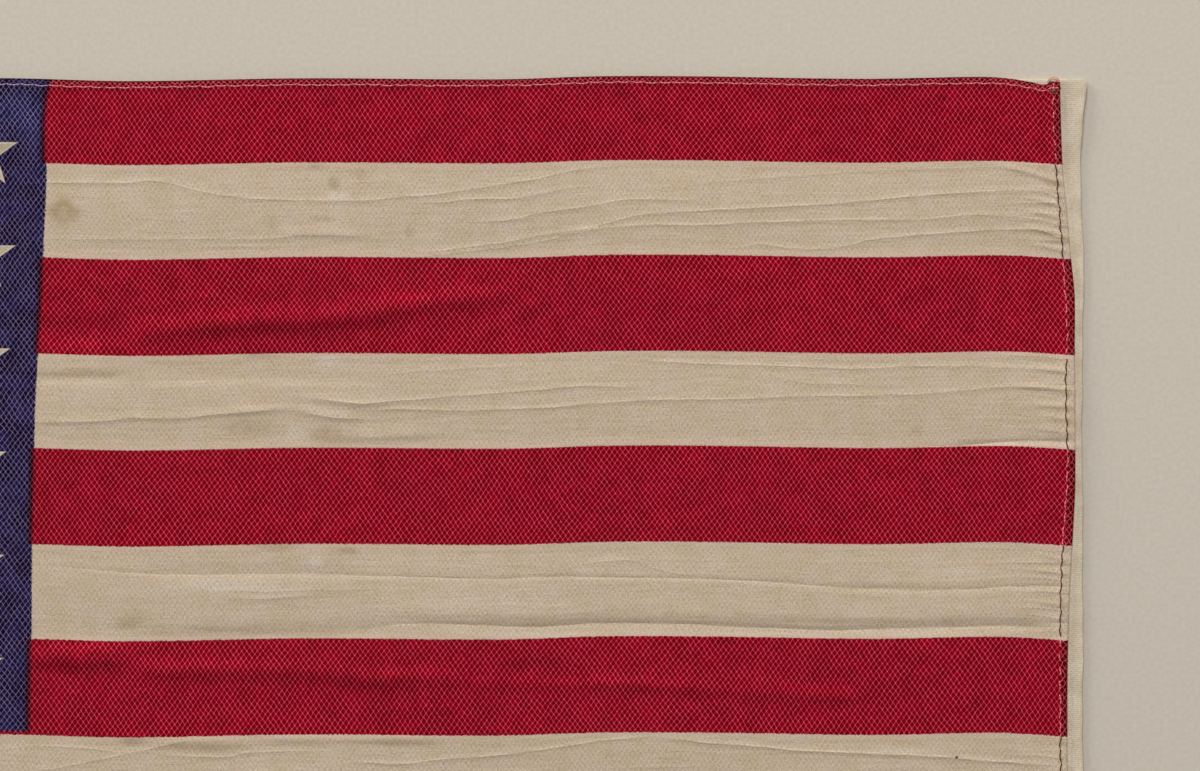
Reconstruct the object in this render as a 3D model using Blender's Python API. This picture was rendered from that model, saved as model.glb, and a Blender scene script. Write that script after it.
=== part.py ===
"""A small printed cotton flag of stripes and stars, laid flat on the cream cloth that backs it.

Units are metres and +Z is up. The flag lies face up: +X runs from the hoist to the fly, +Y to the flag's
top edge. The origin is the centre of the underside. Any point of the cloth is named by how far it lies
from the hoist (along) and from the top edge (down), measured on the cloth before it stretched in use.
"""

import math

import bmesh
import bpy

MM = 0.001

# Sizes of the cut and hemmed flag, 18 by 12 inches as sold.
FLAG_LENGTH = 456 * MM
STRIPE = 23.8 * MM
HEMMED_STRIPE = 20.6 * MM
STRIPES = 13
FLAG_HEIGHT = (STRIPES - 2) * STRIPE + 2 * HEMMED_STRIPE

# Heights of the layers. The cloths lie a hair apart, as separate pieces do.
BACKING_THICK = 1.0 * MM
GAP = 0.3 * MM
CLOTH_THICK = 1.0 * MM
HEM_RISE = 0.45 * MM
CLOTH_UNDER = BACKING_THICK + GAP

# Widths of the sewn hems: the narrow rolled ones at top and bottom, the wider ones at fly and hoist.
TOP_HEM = 1.9 * MM
FLY_HEM = 2.4 * MM
HEM_EDGE = 0.5 * MM

# How far the backing stays back from the flag's other three edges, and where along the flag it stops
# following the lift of the stripes and runs straight on past the fly.
BACKING_INSET = 0.6 * MM
BACKING_STRAIGHT_FROM = 439 * MM

# The cloth has pulled askew: its top hoist corner lies this much nearer the fly than the bottom one.
HOIST_SKEW = 6 * MM

# Waves that the stripes share, as (along, lift) in millimetres.
LIFT_POINTS = (
    (0, 0.0), (40, 0.3), (85, -0.2), (127, 0.3), (160, 0.0), (189, 0.3), (220, -0.45), (264, 0.25),
    (314, 0.0), (339, 0.75), (364, 0.75), (406, 0.15), (439, 0.65), (456, -0.3),
)

# The fly edge, as (down, out) in millimetres, out being how far past a straight edge it bulges.
FLY_POINTS = (
    (0, -2.5), (20, -1.75), (32, -0.75), (45, 0.0), (59, 1.25), (66, 0.9), (100, 1.4), (114, 0.75),
    (130, -0.1), (150, -0.6), (190, -0.25), (225, 0.5), (262, 0.0), (288, -0.75), (303, -1.25),
)

# The backing's edge past the fly, the same way.
BACKING_FLY_POINTS = (
    (0, 4.75), (12, 4.25), (25, 3.0), (35, 2.75), (45, 3.25), (55, 3.5), (80, 3.0), (172, 3.25),
    (225, 3.0), (303, 3.25),
)

# How far the top edge dips towards the fly, as (along, dip) in millimetres. The sewn corner stands up
# again past it. The dip is gone one stripe down.
DIP_POINTS = (
    (0, 0.0), (436, 0.0), (444, 0.35), (449, 0.9), (452.4, 1.3), (453.4, 0.4), (456, 0.3),
)

# Soft unevenness of the cloth's face.
SWELL = 0.16 * MM
STRIPE_PUFF = 0.14 * MM
EDGE_TROUGH = 2.4 * MM

# The long soft creases of the white stripes: points as (left of the fly, below the top) in millimetres.
CREASE_RISE = 0.3 * MM
CREASE_HALF_WIDTH = 2.2 * MM
CREASES = (
    ((255, 26), (225, 25)),
    ((168, 29.5), (145, 26.5), (122, 23.5)),
    ((161, 43), (122, 38)),
    ((85, 32.5), (52, 30.5), (24, 28), (11, 28)),
    ((63, 42), (41, 40), (27, 38.5)),
    ((258, 86), (226, 85.5), (192, 83.5)),
    ((127, 78), (108, 80.5), (70, 79), (42, 78.5)),
    ((98, 71), (42, 72), (13, 72)),
    ((255, 172), (234, 168.5), (220, 165)),
    ((92, 166.5), (64, 167), (40, 169), (22, 170.5), (8, 171.5)),
)

# Steps of the meshes.
COLUMN_STEP = 11 * MM
CORNER_COLUMNS = (449 * MM, 452.4 * MM)
ROWS_IN_RED = 4
ROWS_IN_WHITE = 9
BACKING_COLUMNS = 24
BACKING_ROWS = 18


def smooth_curve(points, at):
    """The value at a place, in millimetres, on a Catmull-Rom curve through points."""
    last = len(points) - 2
    i = next((k for k in range(last) if at < points[k + 1][0]), last)
    (x0, y0), (x1, y1) = points[i], points[i + 1]
    before = points[max(i - 1, 0)]
    after = points[min(i + 2, last + 1)]
    width = x1 - x0
    slope0 = (y1 - before[1]) / (x1 - before[0]) * width
    slope1 = (after[1] - y0) / (after[0] - x0) * width
    f = min(max((at - x0) / width, 0.0), 1.0)
    return (
        (2 * f**3 - 3 * f**2 + 1) * y0
        + (f**3 - 2 * f**2 + f) * slope0
        + (3 * f**2 - 2 * f**3) * y1
        + (f**3 - f**2) * slope1
    )


def smooth_step(low, high, value):
    """0 below low, 1 above high and a smooth rise between them."""
    f = min(max((value - low) / (high - low), 0.0), 1.0)
    return f * f * (3 - 2 * f)


def fly_x(down):
    return FLAG_LENGTH / 2 + smooth_curve(FLY_POINTS, down / MM) * MM


def hoist_x(down):
    return -FLAG_LENGTH / 2 + HOIST_SKEW * (0.5 - down / FLAG_HEIGHT)


def place(along, down):
    """Where a point of the cloth lies: its x and y, before the whole is centred."""
    share = along / FLAG_LENGTH
    x = hoist_x(down) + share * (fly_x(down) - hoist_x(down))
    lift = smooth_curve(LIFT_POINTS, along / MM) * MM
    near_top = 1 - smooth_step(0, STRIPE, down)
    dip = smooth_curve(DIP_POINTS, along / MM) * MM * near_top
    return x, FLAG_HEIGHT / 2 - down + lift - dip


def stripe_at(down):
    """Which stripe a point lies on, counted from the top, and how far down in it from 0 to 1."""
    first_edge = HEMMED_STRIPE - STRIPE
    index = min(max(int((down - first_edge) / STRIPE), 0), STRIPES - 1)
    return index, (down - first_edge) / STRIPE - index


def distance_to_crease(x, y, crease):
    """How far a point lies from a crease's line, in millimetres."""
    nearest = math.inf
    for (x0, y0), (x1, y1) in zip(crease, crease[1:]):
        run, fall = x1 - x0, y1 - y0
        share = ((x - x0) * run + (y - y0) * fall) / (run * run + fall * fall)
        share = min(max(share, 0.0), 1.0)
        nearest = min(nearest, math.hypot(x - x0 - share * run, y - y0 - share * fall))
    return nearest


def crease_rise(x, y):
    """The height of the highest crease at a place, before the whole is centred."""
    left_of_fly = (FLAG_LENGTH / 2 - x) / MM
    below_top = (FLAG_HEIGHT / 2 - y) / MM
    nearest = min(distance_to_crease(left_of_fly, below_top, crease) for crease in CREASES)
    return CREASE_RISE * math.exp(-((nearest * MM / CREASE_HALF_WIDTH) ** 2))


def relief(along, down):
    """How far the cloth's face stands above its lowest level: slow swells and slack white stripes."""
    slow = math.sin(2 * math.pi * (along / 0.063 + down / 0.121 + 0.3))
    cross = math.sin(2 * math.pi * (along / 0.131 - down / 0.071))
    height = SWELL * (1 + 0.5 * slow + 0.5 * cross)
    index, share = stripe_at(down)
    if index % 2 == 1:
        trough = EDGE_TROUGH / STRIPE
        inner = min(share, 1 - share)
        height += STRIPE_PUFF * smooth_step(trough, 0.5, inner)
        height -= STRIPE_PUFF * 0.5 * max(0.0, 1 - abs(inner - trough) / trough)
    return height


def hem_rise(along, down):
    """The extra height of the turned hems, which fall away again at the very edge."""
    from_side = min(along, FLAG_LENGTH - along)
    from_top = min(down, FLAG_HEIGHT - down)
    side = 1 - smooth_step(FLY_HEM, FLY_HEM + HEM_EDGE, from_side)
    top = 1 - smooth_step(TOP_HEM, TOP_HEM + HEM_EDGE, from_top)
    edge = smooth_step(-HEM_EDGE, HEM_EDGE, min(from_side, from_top))
    return HEM_RISE * max(side, top) * edge


def stations(length, hem, inner):
    """Places across the cloth: close together over each hem, then those of inner."""
    near = [0.0, HEM_EDGE, hem, hem + HEM_EDGE]
    clear = hem + 2 * HEM_EDGE
    middle = [v for v in inner if clear < v < length - clear]
    return near + middle + [length - v for v in reversed(near)]


def flag_columns():
    count = round(FLAG_LENGTH / COLUMN_STEP)
    inner = [FLAG_LENGTH * i / count for i in range(1, count)]
    return stations(FLAG_LENGTH, FLY_HEM, sorted([*inner, *CORNER_COLUMNS]))


def flag_rows():
    """Rows across the stripes, closer together in the creased white ones."""
    first_edge = HEMMED_STRIPE - STRIPE
    inner = []
    for i in range(STRIPES):
        count = ROWS_IN_WHITE if i % 2 == 1 else ROWS_IN_RED
        inner += [first_edge + STRIPE * (i + k / count) for k in range(count)]
    return stations(FLAG_HEIGHT, TOP_HEM, inner)


def closed_sheet(name, columns, rows, point, bottom):
    """A closed sheet: a grid of points on top, straight walls round it and a flat underside."""
    mesh_data = bmesh.new()
    grid = [[mesh_data.verts.new(point(c, r)) for c in columns] for r in rows]
    for upper, lower in zip(grid, grid[1:]):
        for i in range(len(columns) - 1):
            mesh_data.faces.new((upper[i], lower[i], lower[i + 1], upper[i + 1]))
    rim = (
        [row[0] for row in grid]
        + grid[-1][1:]
        + [row[-1] for row in reversed(grid[:-1])]
        + list(reversed(grid[0][1:-1]))
    )
    feet = [mesh_data.verts.new((v.co.x, v.co.y, bottom)) for v in rim]
    for i, v in enumerate(rim):
        after = (i + 1) % len(rim)
        mesh_data.faces.new((v, feet[i], feet[after], rim[after]))
    mesh_data.faces.new(list(reversed(feet)))
    mesh = bpy.data.meshes.new(name)
    mesh_data.to_mesh(mesh)
    mesh_data.free()
    sheet = bpy.data.objects.new(name, mesh)
    bpy.context.scene.collection.objects.link(sheet)
    mesh.shade_smooth()
    mesh.set_sharp_from_angle(angle=math.radians(50))
    return sheet


def cloth_material(name, colour, roughness):
    material = bpy.data.materials.new(name)
    material.use_nodes = True
    shader = material.node_tree.nodes["Principled BSDF"]
    shader.inputs["Base Color"].default_value = (*colour, 1.0)
    shader.inputs["Roughness"].default_value = roughness
    shader.inputs["Metallic"].default_value = 0.0
    return material


def make_flag(centre_x, centre_y):
    """The printed cloth with its four hems, one piece."""

    def point(along, down):
        x, y = place(along, down)
        height = CLOTH_THICK + relief(along, down) + crease_rise(x, y) + hem_rise(along, down)
        return x - centre_x, y - centre_y, CLOTH_UNDER + height

    flag = closed_sheet("flag_cloth", flag_columns(), flag_rows(), point, CLOTH_UNDER)
    flag.data.materials.append(cloth_material("printed_cotton", (0.26, 0.05, 0.06), 0.85))
    return flag


def backing_place(share_along, share_down):
    """A point of the backing by its share of the way along and down, before the whole is centred."""
    down = BACKING_INSET + share_down * (FLAG_HEIGHT - 2 * BACKING_INSET)
    left = hoist_x(down) + BACKING_INSET
    right = FLAG_LENGTH / 2 + smooth_curve(BACKING_FLY_POINTS, down / MM) * MM
    along = min(share_along * FLAG_LENGTH, BACKING_STRAIGHT_FROM)
    lift = smooth_curve(LIFT_POINTS, along / MM) * MM
    return left + share_along * (right - left), FLAG_HEIGHT / 2 - down + lift


def make_backing(centre_x, centre_y):
    """The cream cloth under the flag, which shows along the fly."""

    def point(share_along, share_down):
        x, y = backing_place(share_along, share_down)
        return x - centre_x, y - centre_y, BACKING_THICK

    columns = [i / BACKING_COLUMNS for i in range(BACKING_COLUMNS + 1)]
    rows = [i / BACKING_ROWS for i in range(BACKING_ROWS + 1)]
    backing = closed_sheet("backing_cloth", columns, rows, point, 0.0)
    backing.data.materials.append(cloth_material("cream_cotton", (0.52, 0.43, 0.31), 0.9))
    return backing


def centre_of_outline():
    """The middle of the whole outline, which becomes the origin."""
    edge = [place(along, down) for along in flag_columns() for down in (0.0, FLAG_HEIGHT)]
    edge += [place(along, down) for along in (0.0, FLAG_LENGTH) for down in flag_rows()]
    edge += [backing_place(1.0, i / BACKING_ROWS) for i in range(BACKING_ROWS + 1)]
    xs = [x for x, _ in edge]
    ys = [y for _, y in edge]
    return (min(xs) + max(xs)) / 2, (min(ys) + max(ys)) / 2


def main():
    for old in list(bpy.data.objects):
        bpy.data.objects.remove(old)
    centre_x, centre_y = centre_of_outline()
    make_backing(centre_x, centre_y)
    make_flag(centre_x, centre_y)


main()
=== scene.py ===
"""The looks of the printed flag: its two cloths, their thread, the floor, the light and the camera.

Lengths below are in millimetres on the cloth and are turned into metres where a mesh is made. A point of
the flag is named by how far it lies from the hoist (along) and from the top edge (down). A place in the
straight frame is given by how far it lies left of the fly and below the top.
"""

import math

import bpy
import numpy as np
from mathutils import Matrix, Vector


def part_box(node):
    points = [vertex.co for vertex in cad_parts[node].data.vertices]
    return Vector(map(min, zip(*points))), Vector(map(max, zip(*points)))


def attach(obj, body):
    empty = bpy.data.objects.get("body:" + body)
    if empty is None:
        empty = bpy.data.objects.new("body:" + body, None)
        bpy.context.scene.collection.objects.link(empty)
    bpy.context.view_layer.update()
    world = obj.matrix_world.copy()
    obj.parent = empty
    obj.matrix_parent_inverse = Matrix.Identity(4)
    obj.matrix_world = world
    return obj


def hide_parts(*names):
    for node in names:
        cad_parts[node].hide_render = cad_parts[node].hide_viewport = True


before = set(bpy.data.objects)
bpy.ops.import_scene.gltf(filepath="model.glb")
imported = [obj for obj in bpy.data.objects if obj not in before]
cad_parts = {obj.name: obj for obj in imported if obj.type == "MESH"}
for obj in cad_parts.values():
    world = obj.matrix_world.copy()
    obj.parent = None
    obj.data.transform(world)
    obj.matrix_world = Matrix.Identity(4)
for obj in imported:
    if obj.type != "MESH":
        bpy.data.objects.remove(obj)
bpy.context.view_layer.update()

MM = 0.001

# The flag's sizes, as in the solids.
FLAG_LENGTH = 456
STRIPE = 23.8
HEMMED_STRIPE = 20.6
STRIPES = 13
FLAG_HEIGHT = (STRIPES - 2) * STRIPE + 2 * HEMMED_STRIPE
FIRST_EDGE = HEMMED_STRIPE - STRIPE
HOIST_SKEW = 6
BACKING_INSET = 0.6
BACKING_STRAIGHT_FROM = 439
CLOTH_THICK = 1.0
HEM_RISE = 0.45
SWELL = 0.16
STRIPE_PUFF = 0.14
EDGE_TROUGH = 2.4

LIFT_POINTS = (
    (0, 0.0), (40, 0.3), (85, -0.2), (127, 0.3), (160, 0.0), (189, 0.3), (220, -0.45), (264, 0.25),
    (314, 0.0), (339, 0.75), (364, 0.75), (406, 0.15), (439, 0.65), (456, -0.3),
)
FLY_POINTS = (
    (0, -2.1), (20, -1.5), (32, -0.4), (45, 0.75), (54, 1.6), (66, 1.6), (100, 1.75), (109, 1.4),
    (130, 0.3), (150, -0.2), (190, -0.05), (225, 0.6), (262, 0.1), (288, -0.75), (303, -1.25),
)
BACKING_FLY_POINTS = (
    (0, 4.6), (4, 4.2), (10, 3.45), (15, 3.1), (22, 3.05), (30, 3.1), (40, 3.3), (45, 3.65), (55, 3.75),
    (70, 3.3), (95, 3.3), (130, 3.45), (172, 3.4), (225, 3.2), (303, 3.4),
)

# How the backing's edge curls up near its top corner: how high, where, and how far down and in it reaches.
CURL_RISE = 0.6
CURL_DOWN = 10
CURL_LENGTH = 8
CURL_WIDTH = 3.5
DIP_POINTS = (
    (0, 0.0), (436, 0.0), (444, 0.35), (449, 0.9), (452.4, 1.3), (453.4, 0.4), (456, 0.3),
)

# The printed canton: how long it is, and how its edge wanders, as (down, further along).
CANTON_LENGTH = 196
CANTON_STRIPES = 7
CANTON_BOTTOM = HEMMED_STRIPE + (CANTON_STRIPES - 1) * STRIPE
CANTON_POINTS = (
    (0, 4.9), (6, 3.6), (19, 3.2), (23, 3.45), (45, 1.9), (71, 0.4), (93, -0.2), (116, -0.1), (140, 0.4),
    (164, 0.3),
)
PRINT_OVERLAP = 1.3

# The printed stripes: where the first would start without the hem, their pitch, and how far red ran.
PRINT_START = -2.9
PRINT_PITCH = 23.857
RED_SPREAD = 0.12

# The stars, in rows and columns.
STAR_RADIUS = 9.2
STAR_INNER = 0.382
STAR_ROW_PITCH = 25.8
STAR_COLUMN_PITCH = 23.6
FIRST_STAR_DOWN = 18.9
LAST_STAR_INSET = 15.75
STAR_ROWS = 6
STAR_COLUMNS = 8

# The diamonds of the weave.
WEAVE_WIDE = 1.35
WEAVE_TALL = 1.85

# The hems, their stitches and thread, the groove that these pull and the ripple along it.
TOP_HEM = 1.9
FLY_HEM = 2.4
HEM_STEP = 0.6
EDGE_ROUND = 0.35
STITCH = 3.5
THREAD = 0.34
THREAD_SIDES = 6
GROOVE_DEPTH = 0.14
GROOVE_WIDTH = 0.35
RIPPLE = 0.05
TOP_STITCH_INSET = 1.65
TOP_STITCH_BOW = 0.3
FLY_STITCH_POINTS = (
    (0, 1.85), (13, 1.9), (20, 1.75), (31, 2.05), (45, 2.15), (53, 2.45), (66, 2.0), (72, 2.35),
    (84, 2.4), (92, 2.1), (105, 2.25), (114, 2.5), (128, 2.4), (145, 2.0), (215, 1.8), (260, 2.0),
    (303, 1.9),
)

# The thin creases: a rise (below 0 in a trough) and points as (left of the fly, below the top).
CREASES = (
    (0.12, ((267.2, 26.4), (261.8, 26.4), (258.2, 26.1), (255.5, 25.9), (234.8, 25.9), (230.5, 25.4),
      (226.5, 25.7), (222.2, 26.8), (215.5, 28.4), (208, 29.6), (199.8, 30.1), (184.8, 30.3), (174.8, 30.3),
      (168, 29.6), (159.8, 29), (151.5, 27.8), (143, 26.5), (132.2, 24.8), (124.8, 23), (117.2, 22))),
    (0.14, ((159.8, 30.9), (154.8, 30.7), (150.5, 30), (143, 30), (136.5, 29.6), (129.8, 28.2),
      (124.8, 27))),
    (0.11, ((148, 35.7), (139.8, 35.2), (132.2, 33.5), (119.8, 31.8), (111, 30.2), (97.2, 30.2))),
    (0.13, ((159.8, 43.2), (143, 41.1), (129.8, 38.8), (119.8, 37.1), (107.2, 34), (94.8, 33.1),
      (82.2, 32.4), (69.8, 31.8), (57.2, 31.1), (44.8, 29.9), (32.2, 28.8), (19.8, 28.1), (7.2, 28.1),
      (2.8, 29.6))),
    (0.11, ((161.5, 44.4), (151.5, 43.2), (143, 42.3), (129.8, 40.2), (121, 38), (107.2, 36.5), (91, 36.5),
      (79.8, 35.9), (67.2, 35.5), (52.2, 35.2), (37.2, 35.2), (26, 34), (16, 34.2), (7.2, 35.2),
      (2.8, 36.5))),
    (0.12, ((81, 42.1), (77.2, 41.2), (71, 42.1), (66, 42.5), (61, 42.5), (54.8, 41.5), (49.8, 40.2),
      (39.8, 39.2), (29.8, 38.4), (19.8, 37.8), (7.2, 37.8), (2.8, 39.6))),
    (0.06, ((89.8, 25.8), (79.8, 25), (67.2, 24.2), (52.2, 23.2), (37.2, 22.5), (22.2, 22.2))),
    (0.08, ((255.5, 40), (234.8, 40.1), (217.2, 40), (201.5, 40), (192.2, 39.2), (176.5, 39.2))),
    (0.06, ((217.2, 41.8), (199.8, 41.8))),
    (0.1, ((258, 85.8), (242.2, 85.6), (234.8, 84.8), (220.5, 84.8), (214.8, 84), (206.5, 83.4),
      (198, 82.5))),
    (0.14, ((193, 82.8), (188, 84), (182.2, 84.8), (175.5, 85))),
    (0.12, ((187.2, 79.8), (183, 80.6), (176.5, 81.2), (169.8, 80.6), (161.5, 80), (154.8, 79.4),
      (143, 78.6), (129.8, 77.5), (122.2, 76.8), (111, 77))),
    (0.12, ((176.5, 82.5), (173, 82.8), (168, 82.5), (157.2, 82.8), (147.2, 82.8), (136.5, 82.4),
      (129.8, 82.2), (119.8, 81.2), (111, 80.6), (102.2, 80.2), (82.2, 80), (69.8, 79.4), (54.8, 79.2),
      (44.8, 79), (37.2, 78.8), (26, 77.8), (17.2, 77.1), (7.2, 77.1), (2.8, 77.8))),
    (0.11, ((104.8, 70.5), (91, 71.2), (69.8, 71.8), (62.2, 72.1), (52.2, 72.5), (42.2, 71.9), (19.8, 71.9),
      (9.8, 72.5), (1.8, 73))),
    (0.06, ((73.5, 74), (67.2, 75.9), (57.2, 76.2), (49.8, 76.5))),
    (0.06, ((172.2, 74.5), (168, 73.6), (159.8, 72.9), (151.5, 72.6), (143, 71.9), (134.8, 71.8))),
    (-0.12, ((36, 92), (24.8, 91.5), (17.2, 90.9), (9.8, 90.5), (1.8, 90.8))),
    (-0.08, ((252.2, 122), (243, 122.8), (234.8, 123.5), (228, 123.8), (216.5, 124), (204.8, 123.8),
      (189.8, 123.8))),
    (-0.11, ((189.8, 123.8), (179.8, 124.1), (171.5, 124.4), (159.8, 124.6), (151.5, 125), (143, 125.1),
      (129.8, 124.5), (107.2, 124.8), (92.2, 125), (79.8, 125.5), (69.8, 126.1), (62.2, 126.8),
      (52.2, 127.4), (39.8, 127.6))),
    (-0.12, ((52.2, 127.4), (39.8, 127.6), (24.8, 127.6), (17.2, 127.1), (7.2, 126.8), (1.8, 127))),
    (-0.09, ((174.8, 137.1), (168, 136.5), (159.8, 136.1), (151.5, 136.5), (143, 136.8), (132.2, 137.1),
      (119.8, 136.2), (107.2, 136.2), (94.8, 136.4), (82.2, 137.1), (72.2, 137.4), (62.2, 137.9),
      (52.2, 137.8), (39.8, 137.4), (27.2, 137.1), (17.2, 136.8), (7.2, 137.1))),
    (0.07, ((127.2, 122.8), (119.8, 121.1), (109.8, 120.5), (102.2, 122.8), (94.8, 124.2))),
    (0.07, ((206.5, 129.9), (201.5, 130.1), (196.5, 129.6), (189.8, 129.1))),
    (0.06, ((213, 127.8), (201.5, 128.2), (189.8, 127.8), (173, 127.5))),
    (0.11, ((258, 166.8), (248, 167.2), (238, 168.4))),
    (0.13, ((255.5, 172.8), (247.2, 171.2), (236.5, 169), (226.5, 166.8), (218, 165))),
    (0.11, ((224.8, 169.1), (209.8, 169.6), (206.5, 168.6), (193, 168.1))),
    (0.13, ((176.5, 170.8), (168, 171.4), (159.8, 170.5), (151.5, 169.8), (143, 169.2), (129.8, 167.5),
      (119.8, 165.9), (107.2, 164.5))),
    (0.16, ((99.8, 164.9), (89.8, 166.1), (79.8, 166.8), (67.2, 168), (52.2, 168.6), (44.8, 169),
      (37.2, 169.2), (24.8, 170.2), (7.2, 171.5))),
    (0.06, ((109.8, 172.2), (91, 171.8))),
    (-0.06, ((69.8, 55.2), (57.2, 69), (52.2, 73.4), (47.2, 79), (39.8, 87), (27.2, 101.8),
      (12.2, 117.8))),
)

# The broad soft folds: a rise, how far each spreads above and below its line, and points as above.
FOLDS = (
    (0.22, 1.4, 0.9, ((196, 38.5), (187.2, 38.4), (178.5, 38.8))),
    (0.32, 0.8, 0.6, ((16, 22), (12.2, 22.8), (8.5, 23.8), (3.5, 25.5))),
    (0.22, 0.7, 0.5, ((7.8, 26.8), (1.8, 28.2))),
    (0.3, 0.7, 0.6, ((9.2, 29.8), (6, 30.5), (1.5, 31.8))),
    (0.3, 0.7, 0.6, ((8.5, 33.2), (5.2, 33.9), (1.2, 35))),
    (0.32, 0.7, 0.6, ((9.8, 37), (5.5, 37.9), (1, 39.2))),
    (0.25, 0.7, 0.6, ((7.8, 41.5), (1, 43))),
    (-0.3, 1.8, 1.3, ((259.8, 75), (237.2, 75))),
    (-0.24, 4, 1.2, ((232.2, 75.2), (217.2, 75), (202.2, 74.9), (188, 75.1), (177.2, 75))),
    (0.14, 1.5, 0.9, ((258, 85.5), (242.2, 85.4), (234.8, 84.5), (220.5, 84.5), (214.8, 83.8),
      (206.5, 83.1), (198, 82.5))),
    (0.18, 1.2, 1.2, ((208.5, 83.2), (198, 82.4))),
    (0.24, 1.2, 1.3, ((193, 82.5), (188, 83.6), (181, 84.5))),
    (0.26, 1.6, 0.9, ((187.8, 80), (183, 80.8), (176.5, 81.4), (169.8, 80.8))),
    (0.28, 2, 0.9, ((182.2, 89.9), (171.5, 89.5), (165.5, 89.2), (159.8, 89.1))),
    (-0.22, 1, 0.8, ((27.2, 91.8), (17.2, 91), (9.8, 90.6), (1.2, 90.9))),
    (0.28, 0.8, 0.6, ((11.8, 77), (7.2, 77.2), (0.8, 77.5))),
    (0.2, 0.7, 0.6, ((8.2, 81.4), (1, 81.8))),
    (0.18, 0.7, 0.6, ((6.8, 72.2), (0.8, 73.1))),
    (0.16, 0.7, 0.6, ((6, 84.2), (0.8, 85))),
    (0.16, 0.7, 0.6, ((6, 87.8), (0.8, 88.5))),
    (0.18, 3, 1.6, ((171, 133.2), (151.5, 133.2), (132.2, 133.8), (119.8, 133), (107.2, 133),
      (82.2, 133.8), (72.2, 133.8), (52.2, 134.2), (27.2, 133.8), (7.2, 134))),
    (-0.24, 2.4, 1.8, ((229.8, 123.2), (216.5, 123.6), (204.8, 123.4), (189.8, 123.4), (179.8, 123.8))),
    (-0.15, 2, 1.4, ((232.8, 140.2), (224.8, 140.1), (216.5, 139.9), (201.5, 139.6), (193, 139.6),
      (184.8, 139.4), (176.5, 138.2), (168, 136.8))),
    (0.1, 3, 2.2, ((231, 136), (216.5, 135.8), (201.5, 135.5), (193, 135.2), (184.8, 134.8),
      (174.8, 133.5))),
    (-0.2, 0.9, 1.7, ((161, 136.4), (151.5, 136.6), (143, 136.9), (132.2, 137.2), (119.8, 136.4),
      (107.2, 136.4), (94.8, 136.5), (82.2, 137.2), (72.2, 137.5), (62.2, 138), (54.8, 137.9))),
    (-0.22, 1.4, 1.2, ((54.8, 137.9), (39.8, 137.5), (27.2, 137.2), (17.2, 136.9), (7.2, 137.2))),
    (-0.07, 1.2, 0.8, ((77.2, 125.8), (62.2, 126.9), (52.2, 127.5), (39.8, 127.8), (24.8, 127.8),
      (7.2, 126.9), (1.2, 127))),
    (0.08, 0.9, 0.7, ((211, 129.8), (201.5, 130), (196.5, 129.5), (188.5, 129))),
    (0.2, 0.7, 0.6, ((6.8, 119.2), (1.2, 120.2))),
    (0.18, 0.7, 0.6, ((6.8, 122.8), (1.2, 123.5))),
    (0.2, 0.7, 0.6, ((6.8, 130.8), (1.2, 131.8))),
    (0.18, 0.7, 0.6, ((6.2, 134.2), (1.2, 135.2))),
    (0.28, 1.2, 1.4, ((237.2, 164.6), (231, 164.6))),
    (0.24, 1.4, 1.2, ((199.8, 165), (179.8, 165.2), (171.5, 165), (159.8, 165.2))),
    (0.26, 1.6, 1.4, ((226, 165.8), (216, 166.2), (204.8, 166.2))),
    (-0.5, 2.8, 2.6, ((262.2, 63), (237.8, 63))),
    (0.8, 2.8, 2.6, ((233.2, 63.8), (222.2, 62.8), (213.5, 61.1), (201.5, 60.2), (188, 60), (176.5, 58.8),
      (164.8, 56.8), (157.2, 55.2), (142.2, 54.2))),
    (0.3, 1.4, 1.4, ((141, 60.8), (134.8, 57.2), (131, 55.2))),
    (0.75, 2.6, 2.4, ((262.2, 144.5), (237.2, 144.5))),
    (0.6, 2.6, 2.2, ((231, 148), (212.2, 148), (197.2, 148), (187.2, 148.2), (179.8, 149), (168, 151))),
    (0.36, 1.8, 1.8, ((168.5, 149.5), (157.2, 150), (143, 151.2), (129.8, 151.2), (107.2, 151.4),
      (94.8, 152.5), (82.2, 153), (67.2, 154), (52.2, 154.8))),
)

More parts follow.
